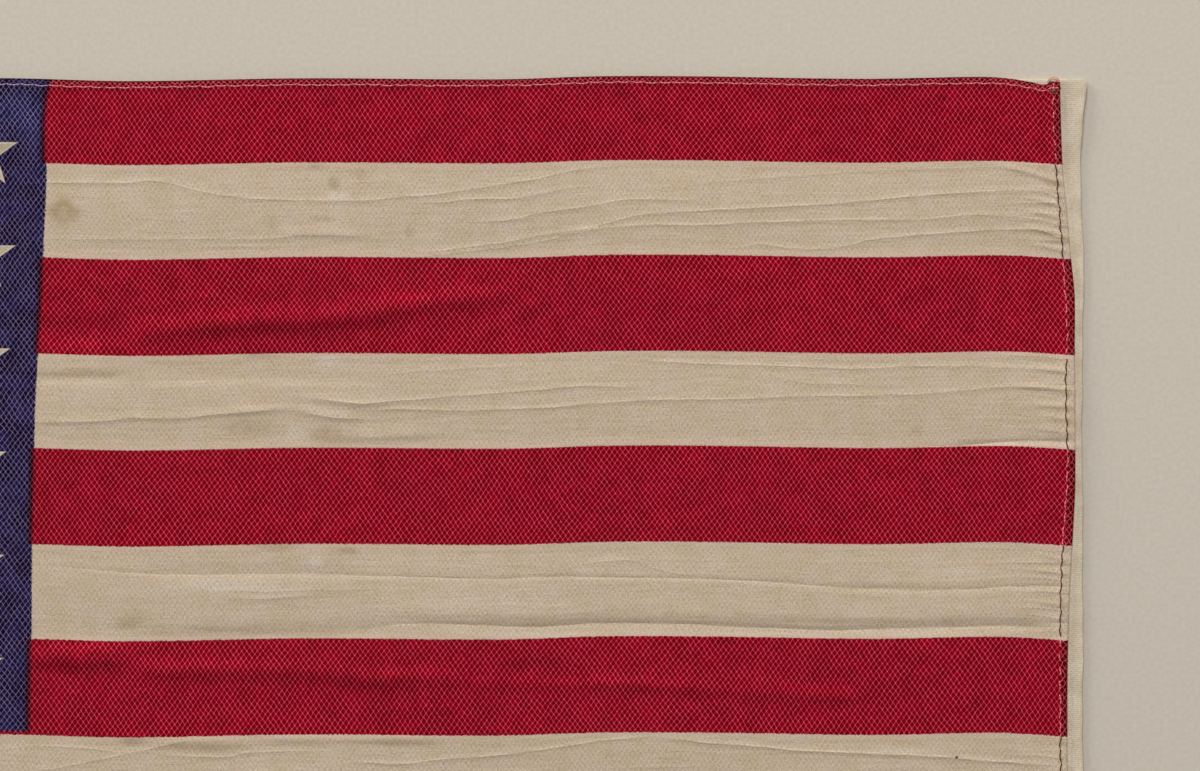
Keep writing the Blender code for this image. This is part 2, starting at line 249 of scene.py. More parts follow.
# Painted shade and painted light, partly yellowed stains: left of the fly, below the top, their reach and
# how dark.
PAINTED_SHADE_LIGHT_AND_STAINS = (
    (184, 26.2, 1.5, 1.8, 0.5), (188, 21.8, 2.2, 1, 0.45), (176.5, 23.8, 1.2, 1.8, 0.35),
    (165.5, 38.2, 1, 2, 0.35), (186.5, 35, 3, 0.8, 0.3), (199.2, 35.8, 1.8, 2.2, 0.2),
    (247.2, 73.5, 12, 1.2, 0.3), (205.2, 86.8, 7.5, 2.5, 0.3), (184.8, 89.2, 5.5, 2.5, 0.35),
    (201.8, 68.8, 4.2, 1, 0.4), (38.5, 88, 1.5, 2, 0.25), (198, 117, 5, 1, 0.45),
    (180.5, 118, 2.8, 1.2, 0.45), (235.5, 136.2, 2.2, 1.5, 0.45), (234.5, 165.5, 2.8, 1.2, 0.5),
    (216, 167, 11.2, 2, 0.3), (167.2, 166, 7.5, 1, 0.3), (183, 29, 2.5, 1.2, -0.4),
    (185.2, 70.5, 3, 1.5, -0.3), (193.2, 88.5, 2.2, 2.2, -0.3), (188.5, 120.5, 1.8, 1.2, -0.35),
    (209.8, 126.8, 17.5, 2, -0.2), (147.2, 130.2, 22.5, 3.5, -0.12), (76, 4.2, 2.5, 1, 0.12),
    (31.8, 4.8, 2.2, 1, 0.4), (42.2, 167.8, 8.8, 0.8, -0.25), (4.2, 25.8, 2.2, 1.5, 0.35),
    (104.8, 169.5, 75, 4, 0.12), (3.8, 40.5, 2, 1, 0.2), (132.2, 138.8, 20, 0.6, -0.2),
    (82.2, 139, 22.5, 0.8, -0.18), (34.8, 138.8, 15, 0.8, -0.14), (127.2, 135.2, 22.5, 0.8, 0.2),
    (52.2, 135.5, 30, 0.8, 0.2), (204.8, 137.8, 20, 1.2, 0.2), (232.2, 134.8, 2.5, 2, 0.2),
    (258.8, 12.2, 4.5, 5, -0.35), (265.8, 17.8, 3, 2.2, 0.25), (44.8, 134.5, 10, 1.5, -0.15),
    (27.2, 123.5, 10, 1.5, -0.15), (216.5, 4.5, 2, 1, 0.35), (214.2, 8.2, 3, 1.5, -0.15),
    (184.5, 5.5, 2.2, 1.5, 0.4), (147.2, 4.2, 2.2, 1, 0.3), (146.8, 7.2, 3.5, 1.2, -0.2),
    (112.2, 4, 2.5, 1, 0.4), (171, 10.8, 1.5, 6.5, -0.12), (134.8, 9.8, 1.8, 5.5, -0.12),
    (127.2, 9.8, 1.5, 5.5, 0.1), (204.8, 63, 18.8, 1.5, 0.25), (178.5, 61, 15, 1.5, 0.3),
    (228.5, 60.2, 7, 1.2, -0.3), (213.5, 59, 7, 1.8, -0.25), (214.2, 53.5, 6.5, 0.8, -0.25),
    (167.2, 54.2, 13.8, 1.5, -0.25), (147.2, 52.8, 7.5, 1.5, -0.2), (168, 65.5, 7, 1.2, -0.15),
    (247.8, 66.5, 12.5, 1.5, -0.25), (244.8, 59.5, 7.5, 1.5, 0.2), (246, 141.8, 12.5, 1, -0.35),
    (248.5, 147.2, 11.2, 1.5, 0.3), (213.5, 146, 15.5, 1.2, -0.3), (179.8, 151.2, 12.5, 2, 0.25),
    (166, 147.8, 11.2, 1.2, -0.2), (117.2, 150.5, 13.8, 0.8, -0.25), (97.2, 153.2, 13.8, 1, 0.2),
    (134.8, 145.8, 8, 1.5, 0.2), (78.5, 149.8, 8, 0.8, -0.15), (58.5, 155.5, 7, 1, 0.2),
    (159.8, 156.8, 7.5, 0.8, -0.15), (263.8, 7.8, 7.5, 4.5, -0.4),
)

# How wide a thin crease is, how long both kinds fade at their ends, and how far a crease draws the cloth.
CREASE_HALF_WIDTH = 0.6
CREASE_TAPER = 7
CREASE_REACH = 1.5
FOLD_TAPER = 3
NEAR_FLY = 4

# How the creases of the stripes that don't show are moved from those that do: left and down.
UNSEEN_SHIFT = (40, 8 * STRIPE)
UNSEEN_FROM = 4 * STRIPE

# Short puckers that the fly's stitches pull in the white stripes: how many to a stripe, and how long.
PUCKERS = 8
PUCKER_LENGTH = (4, 15)
PUCKER_RISE = (0.02, 0.10)

# How far the thin cloth's face lies below that of its solid.
FACE_DROP = 0.75

# The thread left at the top fly corner: how high each strand lies on the backing, and its route.
CORNER_STRANDS = (
    (0.15, ((5.2, 0.5), (4.8, -0.2), (4.0, -0.65), (3.1, -0.5), (2.4, 0.1), (2.1, 1.2), (1.95, 2.4))),
    (0.15, ((4.7, 0.5), (4.2, -0.3), (3.3, -0.15), (2.6, 0.5))),
    (0.95, ((5.0, 3.0), (4.2, 2.95), (3.4, 3.05), (2.6, 2.7))),
    (0.95, ((4.8, 2.5), (4.2, 3.1), (3.6, 3.6), (2.8, 3.7))),
    (0.95, ((4.6, 3.9), (4.0, 3.3), (3.2, 2.4))),
)

# The stain near the canton, as (along, down), and its reach.
STAIN = (203.4, 33.0)
STAIN_REACH = (6.4, 5.0)

# One dark speck low in the fourth white stripe.
SPECK = (FLAG_LENGTH - 27.8, 170.2)
SPECK_RADIUS = 0.4

# How closely the sheets are meshed: over a rolled edge and its hem, along the flag, and down it in red
# and in white stripes, with the lower stripes coarser by a factor.
EDGE_STEPS = (0, 0.1, 0.25, 0.5, 0.85, 1.15, 1.4, 1.65, 1.9, 2.2, 2.6)
EDGE_END = 3.2
CANTON_STEP = 5
MIDDLE_STEP = 2.3
PUCKERED_FROM = 430
PUCKERED_STEP = 1.2
RED_STEP = 0.85
WHITE_STEP = 0.33
LOWER_STRIPES_COARSER = 2.2

# The backing's mesh: its columns and rows, and the places near its fly edge and near its ends.
BACKING_COLUMNS = 40
BACKING_ROWS = 190
BACKING_FLY_STEPS = (8, 5, 3, 1.8, 1.0, 0.55, 0.25, 0.08, 0)
BACKING_END_STEPS = (0, 0.08, 0.25, 0.55, 1.0)
BACKING_CORNER_RADIUS = 1.6
BACKING_EDGE_ROUND = 0.4

# The depths of the bumps, in metres.
CLOTH_BUMP = 0.00006
THREAD_BUMP = 0.00003
FLOOR_BUMP = 0.00002

# The floor, which lies a little below the cloth, and the light from all round. Metres.
FLOOR_HALF = 3.0
FLOOR_DROP = 0.00005
SKY_STRENGTH = 0.34

# The view: which pixel of the 1200 x 771 picture lies where in the straight frame, and its scale.
IMAGE_WIDTH = 1200
IMAGE_HEIGHT = 771
PIXELS_PER_MM = 4.0
FLY_PIXEL = 1069
TOP_PIXEL = 79.0
LENS = 100
SENSOR = 36

# The lamps: name, kind, power, width (or spread as an angle), place and what each points at. Metres.
LAMPS = (
    ("key", "AREA", 55.0, 1.0, (0.01, 1.99, 1.607), (0.11, 0.075, 0.0)),
    ("low", "SUN", 1.65, 0.45, (-0.787, 0.552, 0.276), (0.0, 0.0, 0.0)),
)


def smooth_curve(points, at):
    """The values at places on a Catmull-Rom curve through points."""
    xs = np.array([p[0] for p in points], dtype=float)
    ys = np.array([p[1] for p in points], dtype=float)
    slopes = np.empty_like(ys)
    slopes[1:-1] = (ys[2:] - ys[:-2]) / (xs[2:] - xs[:-2])
    slopes[0] = (ys[1] - ys[0]) / (xs[1] - xs[0])
    slopes[-1] = (ys[-1] - ys[-2]) / (xs[-1] - xs[-2])
    at = np.clip(np.asarray(at, dtype=float), xs[0], xs[-1])
    i = np.clip(np.searchsorted(xs, at, side="right") - 1, 0, len(xs) - 2)
    width = xs[i + 1] - xs[i]
    f = (at - xs[i]) / width
    return (
        (2 * f**3 - 3 * f**2 + 1) * ys[i]
        + (f**3 - 2 * f**2 + f) * slopes[i] * width
        + (3 * f**2 - 2 * f**3) * ys[i + 1]
        + (f**3 - f**2) * slopes[i + 1] * width
    )


def smooth_step(low, high, value):
    """0 up to low, 1 from high on, and a smooth rise between."""
    f = np.clip((value - low) / (high - low), 0, 1)
    return f * f * (3 - 2 * f)


def fly_x(down):
    """Where the fly edge lies in the straight frame."""
    return FLAG_LENGTH / 2 + smooth_curve(FLY_POINTS, down)


def hoist_x(down):
    """Where the hoist edge lies in the straight frame."""
    return -FLAG_LENGTH / 2 + HOIST_SKEW * (0.5 - down / FLAG_HEIGHT)


def place(along, down):
    """Where points of the cloth lie in the straight frame."""
    left = hoist_x(down)
    x = left + along / FLAG_LENGTH * (fly_x(down) - left)
    near_top = 1 - smooth_step(0, STRIPE, down)
    dip = smooth_curve(DIP_POINTS, along) * near_top
    return x, FLAG_HEIGHT / 2 - down + smooth_curve(LIFT_POINTS, along) - dip


# Where the straight frame's middle lies in the row's frame, from the box of the flag's solid.
flag_low, flag_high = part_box("flag_cloth")
backing_low, backing_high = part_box("backing_cloth")
lifts = smooth_curve(LIFT_POINTS, np.linspace(0, FLAG_LENGTH, 400))
CENTRE_X = -FLAG_LENGTH / 2 - HOIST_SKEW / 2 - flag_low.x / MM
CENTRE_Y = FLAG_HEIGHT / 2 + float(lifts.max()) - flag_high.y / MM
CLOTH_UNDER = flag_low.z / MM
BACKING_TOP = backing_high.z / MM


def with_unseen(lines):
    """The lines that show, and the same again in the stripes that don't."""
    moved = []
    for *sizes, points in lines:
        if points[0][1] < UNSEEN_FROM:
            moved.append((*sizes, tuple((u + UNSEEN_SHIFT[0], v + UNSEEN_SHIFT[1]) for u, v in points)))
    return list(lines) + moved


def all_creases():
    """The thin creases, and the short puckers that the fly's stitches pull."""
    rng = np.random.default_rng(3)
    lines = with_unseen(CREASES)
    for stripe in range(1, STRIPES, 2):
        for k in range(PUCKERS):
            below = FIRST_EDGE + STRIPE * (stripe + (k + rng.uniform(0.2, 0.8)) / PUCKERS)
            reach = rng.uniform(*PUCKER_LENGTH)
            fall = rng.uniform(-1.3, 0.5)
            points = ((0.5, below), (2.5, below - 0.1), (2.5 + reach * 0.4, below + fall * 0.7))
            points += ((2.5 + reach, below + fall),)
            lines.append((rng.uniform(*PUCKER_RISE), points))
    return lines


def beside_line(points, taper, left_of_fly, below_top):
    """Which places a line passes near, how far below it they lie, and how strong it still is there."""
    line = sorted(points)
    start, end = line[0][0], line[-1][0]
    near = (left_of_fly > start - taper) & (left_of_fly < end + taper)
    u = left_of_fly[near]
    ends = 1 - smooth_step(end - taper, end + taper, u)
    if start > NEAR_FLY:
        ends = ends * smooth_step(start - taper, start + taper, u)
    return near, below_top[near] - smooth_curve(line, u), ends


def crease_field(x, y):
    """The height of the folds and creases, and for the painted crease light and shade how far below the
    nearest thin crease a place lies, how strong that crease is and how much painted shade, light or stain
    it has."""
    left_of_fly = FLAG_LENGTH / 2 - x
    below_top = FLAG_HEIGHT / 2 - y
    height = np.zeros_like(x)
    for rise, above, below, points in with_unseen(FOLDS):
        near, off, ends = beside_line(points, FOLD_TAPER, left_of_fly, below_top)
        height[near] += rise * ends * np.exp(-((off / np.where(off < 0, above, below)) ** 2))
    nearest = np.full_like(x, CREASE_REACH)
    second = np.full_like(x, 2 * CREASE_REACH)
    strength = np.zeros_like(x)
    for rise, points in all_creases():
        near, off, ends = beside_line(points, CREASE_TAPER, left_of_fly, below_top)
        height[near] += rise * ends * np.exp(-((off / CREASE_HALF_WIDTH) ** 2))
        closer = np.abs(off) < np.abs(nearest[near])
        second[near] = np.where(closer, np.abs(nearest[near]), np.minimum(second[near], np.abs(off)))
        nearest[near] = np.where(closer, off, nearest[near])
        strength[near] = np.where(closer, ends * rise, strength[near])
    alone = smooth_step(0.0, 0.6, second - np.abs(nearest))
    # Painted shade where dark is above 0 and painted light where it is below 0, partly yellowed stains.
    shade = np.zeros_like(x)
    for u, v, reach_u, reach_v, dark in PAINTED_SHADE_LIGHT_AND_STAINS:
        away = ((left_of_fly - u) / reach_u) ** 2 + ((below_top - v) / reach_v) ** 2
        shade += dark * np.exp(-(away**1.5))
    return height, np.stack([nearest, strength * alone, shade], axis=-1)


def relief(along, down):
    """Slow swells and slack white stripes, as in the solid."""
    slow = np.sin(2 * np.pi * (along / 63 + down / 121 + 0.3))
    cross = np.sin(2 * np.pi * (along / 131 - down / 71))
    height = SWELL * (1 + 0.5 * slow + 0.5 * cross)
    share = (down - PRINT_START) / PRINT_PITCH
    index = np.clip(np.floor(share), 0, STRIPES - 1)
    inner = np.maximum(np.minimum(share - index, 1 - share + index), 0)
    white = index % 2
    trough = EDGE_TROUGH / STRIPE
    height = height + white * STRIPE_PUFF * smooth_step(trough, 0.5, inner)
    return height - white * STRIPE_PUFF * 0.5 * np.maximum(0, 1 - np.abs(inner - trough) / trough)


def surface(along, down):
    """The cloth's face: x, y and z in millimetres in the row's frame, and its painted crease light and
    shade.
    """
    x, y = place(along, down)
    creases, folds = crease_field(x, y)
    from_side = np.minimum(along, FLAG_LENGTH - along)
    from_top = np.minimum(down, FLAG_HEIGHT - down)
    hem_side = 1 - smooth_step(FLY_HEM, FLY_HEM + HEM_STEP, from_side)
    hem_top = 1 - smooth_step(TOP_HEM, TOP_HEM + HEM_STEP, from_top)
    hem = np.maximum(hem_side, hem_top)
    creases = creases * (0.2 + 0.8 * smooth_step(1.0, 2.6, from_side))
    stitch_line = np.minimum(
        np.abs(from_side - smooth_curve(FLY_STITCH_POINTS, down)), np.abs(from_top - TOP_STITCH_INSET)
    )
    groove = GROOVE_DEPTH * np.exp(-((stitch_line / GROOVE_WIDTH) ** 2)) * hem
    ripple = RIPPLE * hem * np.sin(2 * np.pi * np.where(hem_side > hem_top, down, along) / STITCH)
    height = CLOTH_THICK + relief(along, down) + creases + HEM_RISE * 0.6 * hem - groove + ripple
    edge = np.clip(np.minimum(from_side, from_top) / EDGE_ROUND, 0, 1)
    height = height * (0.3 + 0.7 * np.sqrt(1 - (1 - edge) ** 2))
    return x - CENTRE_X, y - CENTRE_Y, CLOTH_UNDER - FACE_DROP + height, folds


def add(name, data):
    """A new object in the scene."""
    made = bpy.data.objects.new(name, data)
    bpy.context.scene.collection.objects.link(made)
    return made


def grid_piece(name, x, y, z, bottom, attributes):
    """A closed sheet over a grid of points, with straight walls and a flat underside. Millimetres."""
    rows, columns = x.shape
    ids = np.arange(rows * columns).reshape(rows, columns)
    faces = np.stack([ids[:-1, :-1], ids[1:, :-1], ids[1:, 1:], ids[:-1, 1:]], axis=-1).reshape(-1, 4)
    rim = np.concatenate([ids[:, 0], ids[-1, 1:], ids[-2::-1, -1], ids[0, -2:0:-1]])
    top = np.stack([x, y, z], axis=-1).reshape(-1, 3)
    feet = top[rim].copy()
    feet[:, 2] = bottom
    foot_ids = np.arange(len(rim)) + len(top)
    walls = np.stack([rim, foot_ids, np.roll(foot_ids, -1), np.roll(rim, -1)], axis=-1)
    points = np.concatenate([top, feet]) * MM
    mesh = bpy.data.meshes.new(name)
    mesh.from_pydata(points.tolist(), [], faces.tolist() + walls.tolist() + [foot_ids[::-1].tolist()])
    for label, values in attributes.items():
        values = values.reshape(-1, 3)
        values = np.concatenate([values, values[rim]])
        layer = mesh.attributes.new(label, "FLOAT_VECTOR", "POINT")
        layer.data.foreach_set("vector", values.ravel().astype(np.float32))
    mesh.shade_smooth()
    mesh.set_sharp_from_angle(angle=math.radians(60))
    return add(name, mesh)


def cloth_coordinates(along, down):
    """What the print is laid out by: along, down and how far into the canton."""
    return np.stack([along, down, CANTON_LENGTH + smooth_curve(CANTON_POINTS, down) - along], axis=-1)


def steps(start, end, step):
    """Even places from start up to end, without end itself, about a step apart."""
    count = max(1, round((end - start) / step))
    return [start + (end - start) * i / count for i in range(count)]


def with_edges(middle, length):
    """The places between, with the close ones over both edges."""
    far = [length - v for v in reversed((*EDGE_STEPS, EDGE_END))]
    return np.array([*EDGE_STEPS, *middle, *far])


def sheet_columns():
    """Places along the flag, closer together where the creases are."""
    middle = steps(EDGE_END, CANTON_LENGTH, CANTON_STEP)
    middle += steps(CANTON_LENGTH, PUCKERED_FROM, MIDDLE_STEP)
    middle += steps(PUCKERED_FROM, FLAG_LENGTH - EDGE_END, PUCKERED_STEP)
    return with_edges(middle, FLAG_LENGTH)


def sheet_rows():
    """Places down the flag, closer together in the creased white stripes."""
    middle = []
    for i in range(STRIPES):
        start = max(FIRST_EDGE + i * STRIPE, EDGE_END)
        end = min(FIRST_EDGE + (i + 1) * STRIPE, FLAG_HEIGHT - EDGE_END)
        coarser = 1 if i <= CANTON_STRIPES else LOWER_STRIPES_COARSER
        middle += steps(start, end, (WHITE_STEP if i % 2 else RED_STEP) * coarser)
    return with_edges(middle, FLAG_HEIGHT)


def make_flag():
    """The printed cloth, with its hems, creases and wavy edges."""
    along, down = np.meshgrid(sheet_columns(), sheet_rows())
    x, y, z, folds = surface(along, down)
    # The folds attribute carries the painted crease highlights and shade and the painted shade, light and
    # stains.
    attributes = {"cloth": cloth_coordinates(along, down), "folds": folds}
    piece = grid_piece("printed_flag", x, y, z, BACKING_TOP + 0.05, attributes)
    piece.data.materials.append(flag_material())
    return piece


def make_backing():
    """The cream cloth under the flag."""
    across = [i / BACKING_COLUMNS for i in range(BACKING_COLUMNS)]
    across += [1 - v / FLAG_LENGTH for v in BACKING_FLY_STEPS]
    share_down = [v / FLAG_HEIGHT for v in BACKING_END_STEPS]
    share_down += [i / BACKING_ROWS for i in range(1, BACKING_ROWS)]
    share_down += [1 - v / FLAG_HEIGHT for v in BACKING_END_STEPS]
    share, depth = np.meshgrid(np.array(sorted(across)), np.array(sorted(share_down)))
    down = BACKING_INSET + depth * (FLAG_HEIGHT - 2 * BACKING_INSET)
    left = hoist_x(down) + BACKING_INSET
    wave = 0.12 * np.sin(down / 5.3) + 0.08 * np.sin(down / 2.1 + 1)
    right = FLAG_LENGTH / 2 + smooth_curve(BACKING_FLY_POINTS, down) + 0.25 + wave
    corner = np.clip(1 - depth * FLAG_HEIGHT / BACKING_CORNER_RADIUS, 0, 1)
    right = right - BACKING_CORNER_RADIUS * (1 - np.sqrt(1 - corner**2))
    lift = smooth_curve(LIFT_POINTS, np.minimum(share * FLAG_LENGTH, BACKING_STRAIGHT_FROM))
    x = left + share * (right - left)
    y = FLAG_HEIGHT / 2 - down + lift
    from_side = np.minimum(share, 1 - share) * FLAG_LENGTH
    from_top = np.minimum(depth, 1 - depth) * FLAG_HEIGHT
    edge = np.clip(np.minimum(from_side, from_top) / BACKING_EDGE_ROUND, 0, 1)
    beside = 1 - smooth_step(0, CURL_WIDTH, right - x)
    curl = CURL_RISE * beside * np.exp(-(((down - CURL_DOWN) / CURL_LENGTH) ** 2))
    z = BACKING_TOP * (0.75 + 0.25 * np.sqrt(1 - (1 - edge) ** 2)) + curl
    attributes = {"cloth": np.stack([share * FLAG_LENGTH, down, x - fly_x(down)], axis=-1)}
    piece = grid_piece("backing_sheet", x - CENTRE_X, y - CENTRE_Y, z, 0.0, attributes)
    piece.data.materials.append(backing_material())
    return piece


def tubes(name, paths, marks, radii):
    """One mesh of round threads, each along a path of points in millimetres, thinner at both ends."""
    points, faces = [], []
    for path, radius in zip(paths, radii):
        path = np.asarray(path, dtype=float)
        run = np.gradient(path, axis=0)
        run /= np.linalg.norm(run, axis=1, keepdims=True)
        side = np.cross(run, (0, 0, 1.0))
        side /= np.maximum(np.linalg.norm(side, axis=1, keepdims=True), 1e-9)
        up = np.cross(side, run)
        first = len(points)
        count = len(path)
        for i in range(count):
            thick = radius * (0.6 if i in (0, count - 1) else 1.0)
            for s in range(THREAD_SIDES):
                turn = 2 * math.pi * s / THREAD_SIDES
                points.append(path[i] + thick * (math.cos(turn) * side[i] + math.sin(turn) * up[i]))
        for i in range(count - 1):
            ring = first + i * THREAD_SIDES
            for s in range(THREAD_SIDES):
                a, b = ring + s, ring + (s + 1) % THREAD_SIDES
                faces.append((a, b, b + THREAD_SIDES, a + THREAD_SIDES))
        faces.append(tuple(first + s for s in reversed(range(THREAD_SIDES))))
        faces.append(tuple(first + (count - 1) * THREAD_SIDES + s for s in range(THREAD_SIDES)))
    mesh = bpy.data.meshes.new(name)
    mesh.from_pydata((np.array(points) * MM).tolist(), [], faces)
    layer = mesh.attributes.new("cloth", "FLOAT_VECTOR", "POINT")
    marks = np.repeat(np.concatenate(marks), THREAD_SIDES, axis=0)
    layer.data.foreach_set("vector", marks.astype(np.float32).ravel())
    mesh.shade_smooth()
    return add(name, mesh)


def white_share(down):
    """1 in a white stripe and 0 in a red one."""
    return np.floor((down - PRINT_START) / PRINT_PITCH) % 2


def stitch_row(length, line, gaps):
    """Stitches along a hem. Line gives along and down for distances along it, gaps the share left bare."""
    paths, marks, radii = [], [], []
    count = round(length / STITCH)
    step = length / count
    for k in range(count):
        bare, radius, sink = gaps((k + 0.5) * step)
        t = np.linspace(bare, 1 - bare, 7)
        along, down = line((k + t) * step, np.sin(np.pi * t), k)
        x, y, z, _ = surface(along, down)
        z = z + THREAD * (0.42 * np.sin(np.pi * t) ** 0.6 - sink)
        paths.append(np.stack([x, y, z], axis=-1))
        marks.append(cloth_coordinates(along, down))
        radii.append(radius)
    return paths, marks, radii


def make_stitches():
    """The thread of the four hems."""
    rng = np.random.default_rng(7)
    sway = rng.uniform(-0.12, 0.12, 400)

    def top(at, bow, k):
        return at, TOP_STITCH_INSET + TOP_STITCH_BOW * (bow - 0.5) + sway[k]

    def bottom(at, bow, k):
        return at, FLAG_HEIGHT - TOP_STITCH_INSET - TOP_STITCH_BOW * (bow - 0.5) + sway[k]

    def wave(at):
        """How far the fly's and the hoist's sewing strays at a place down them."""
        return 0.13 * np.sin(2 * np.pi * at / (STITCH * 0.9)) + 0.10 * np.sin(2 * np.pi * at / 7.7)

    def fly(at, bow, k):
        return FLAG_LENGTH - smooth_curve(FLY_STITCH_POINTS, at) + wave(at), at

    def hoist(at, bow, k):
        return smooth_curve(FLY_STITCH_POINTS, at) + wave(at), at

    def close(at):
        """What share of a stitch is left bare at each end, its radius, and how deep it sinks."""
        return 0.0, THREAD / 2, 0.3

    def by_stripe(at):
        """The same, for stitches that show as dashes in the red stripes and as a line in the white ones."""
        bare = 0.17 + 0.1 * math.sin(at * 1.7)
        return (0.0, THREAD * 0.46, 0.0) if white_share(at) else (bare, THREAD * 0.44, 0.3)

    material = thread_material()
    made = []
    for name, length, line, gaps in (
        ("top_hem_thread", FLAG_LENGTH, top, close),
        ("bottom_hem_thread", FLAG_LENGTH, bottom, close),
        ("fly_hem_thread", FLAG_HEIGHT, fly, by_stripe),
        ("hoist_hem_thread", FLAG_HEIGHT, hoist, by_stripe),
    ):
        piece = tubes(name, *stitch_row(length, line, gaps))
        piece.data.materials.append(material)
        made.append(piece)
    return made


def make_corner_thread():
    """The loose loop and the few tight strands that finish the sewing at the top fly corner."""
    paths, marks = [], []
    for lift, points in CORNER_STRANDS:
        line = np.array(points, dtype=float)
        run = np.linspace(0, len(line) - 1, 4 * len(line))
        left_of_fly = smooth_curve(list(enumerate(line[:, 0])), run)
        below_top = smooth_curve(list(enumerate(line[:, 1])), run)
        x = FLAG_LENGTH / 2 - left_of_fly - CENTRE_X
        y = FLAG_HEIGHT / 2 - below_top - CENTRE_Y
        paths.append(np.stack([x, y, np.full_like(x, BACKING_TOP + lift)], axis=-1))
        marks.append(np.stack([left_of_fly, below_top, np.zeros_like(x)], axis=-1))
    piece = tubes("corner_thread", paths, marks, [THREAD * 0.32] * len(paths))
    piece.data.materials.append(corner_thread_material())
    return piece


class Field:
    """A number that varies over a surface, as an output in a material's node tree."""

    def __init__(self, graph, socket):
        self.graph = graph
        self.socket = socket

    def __add__(self, other):
        return self.graph.math("ADD", self, other)

    def __sub__(self, other):
        return self.graph.math("SUBTRACT", self, other)

    def __rsub__(self, other):
        return self.graph.math("SUBTRACT", other, self)

    def __mul__(self, other):
        return self.graph.math("MULTIPLY", self, other)

    def __truediv__(self, other):
        return self.graph.math("DIVIDE", self, other)

    __radd__ = __add__
    __rmul__ = __mul__


def tone(screen):
    """A colour given in the steps of a screen, as the light that it stands for."""
    shares = [c / 255 for c in screen]
    return [c / 12.92 if c <= 0.04045 else ((c + 0.055) / 1.055) ** 2.4 for c in shares]


class Graph:
    """A material whose surface colour and height are written as formulas. Colours are in screen steps."""

    def __init__(self, name, roughness, specular):
        self.material = bpy.data.materials.new(name)
        self.material.use_nodes = True
        self.tree = self.material.node_tree
        self.shader = self.tree.nodes["Principled BSDF"]
        self.shader.inputs["Roughness"].default_value = roughness
        self.shader.inputs["Specular IOR Level"].default_value = specular

    def put(self, socket, value):
        if isinstance(value, Field):
            self.tree.links.new(value.socket, socket)
        elif isinstance(value, tuple):
            socket.default_value = (*tone(value), 1.0)
        else:
            socket.default_value = value

    def node(self, kind, output, inputs, **settings):
        made = self.tree.nodes.new(kind)
        for key, value in settings.items():
            setattr(made, key, value)
        for key, value in inputs.items():
            self.put(made.inputs[key], value)
        return Field(self, made.outputs[output])

    def math(self, operation, *values):
        return self.node("ShaderNodeMath", 0, dict(enumerate(values)), operation=operation)

    def attribute(self, name):
        return self.node("ShaderNodeAttribute", "Vector", {}, attribute_name=name)

    def split(self, vector):
        made = self.tree.nodes.new("ShaderNodeSeparateXYZ")
        self.put(made.inputs[0], vector)
        return [Field(self, out) for out in made.outputs]

    def join(self, x, y):
        return self.node("ShaderNodeCombineXYZ", 0, {0: x, 1: y})

    def noise(self, vector, scale, detail=1.0):
        inputs = {"Vector": vector, "Scale": scale, "Detail": detail}
        return self.node("ShaderNodeTexNoise", 0, inputs, noise_dimensions="2D")

    def ramp(self, value, low, high, to_low=0.0, to_high=1.0):
        """A smooth rise of value from low to high, turned into to_low to to_high."""
        inputs = {"Value": value, "From Min": low, "From Max": high, "To Min": to_low, "To Max": to_high}
        return self.node("ShaderNodeMapRange", 0, inputs, interpolation_type="SMOOTHSTEP")

    def blend(self, share, first, second):
        """A colour that goes from first to second."""
        made = self.tree.nodes.new("ShaderNodeMix")
        made.data_type = "RGBA"
        self.put(made.inputs["Factor"], share)
        self.put(made.inputs[6], first)
        self.put(made.inputs[7], second)
        return Field(self, made.outputs[2])

    def scaled(self, colour, factor):
        """A colour made lighter or darker by a factor."""
        return self.node("ShaderNodeVectorMath", 0, {0: colour, "Scale": factor}, operation="SCALE")

    def finish(self, colour, height, depth):
        """Joins the colour and the bumps, of depth in metres, to the shader."""
        self.put(self.shader.inputs["Base Color"], colour)
        inputs = {"Strength": 1.0, "Distance": depth, "Height": height}
        bump = self.node("ShaderNodeBump", 0, inputs)
        self.put(self.shader.inputs["Normal"], bump)
        return self.material


def stripe_field(g, down):
    """How far a place lies inside a white stripe; below 0 inside a red one."""
    share = (down - PRINT_START) / PRINT_PITCH
    return (0.5 - g.math("PINGPONG", share - 1.5, 1.0)) * PRINT_PITCH - RED_SPREAD


def canton_field(g, down, into):
    """How far a place lies inside the canton."""
    return g.math("MINIMUM", into, CANTON_BOTTOM - down)


def star_field(g, down, into):
    """How far a place lies inside a star."""
    column = g.math("ROUND", (into - LAST_STAR_INSET) / STAR_COLUMN_PITCH)
    column = g.math("MINIMUM", g.math("MAXIMUM", column, 0.0), STAR_COLUMNS - 1.0)
    row = g.math("ROUND", (down - FIRST_STAR_DOWN) / STAR_ROW_PITCH)
    row = g.math("MINIMUM", g.math("MAXIMUM", row, 0.0), STAR_ROWS - 1.0)
    right = column * STAR_COLUMN_PITCH + LAST_STAR_INSET - into
    up = row * STAR_ROW_PITCH + FIRST_STAR_DOWN - down
    reach = g.math("SQRT", right * right + up * up)
    turn = g.math("ARCTAN2", right, up) / (2 * math.pi / 5)
    turn = g.math("PINGPONG", turn, 0.5) * (2 * math.pi / 5)
    outward = reach * g.math("COSINE", turn)
    sideways = reach * g.math("SINE", turn)
    inner_x = STAR_RADIUS * STAR_INNER * math.cos(math.pi / 5)
    inner_y = STAR_RADIUS * STAR_INNER * math.sin(math.pi / 5)
    edge = math.hypot(inner_y, STAR_RADIUS - inner_x)
    return (STAR_RADIUS - outward) * (inner_y / edge) - sideways * ((STAR_RADIUS - inner_x) / edge)


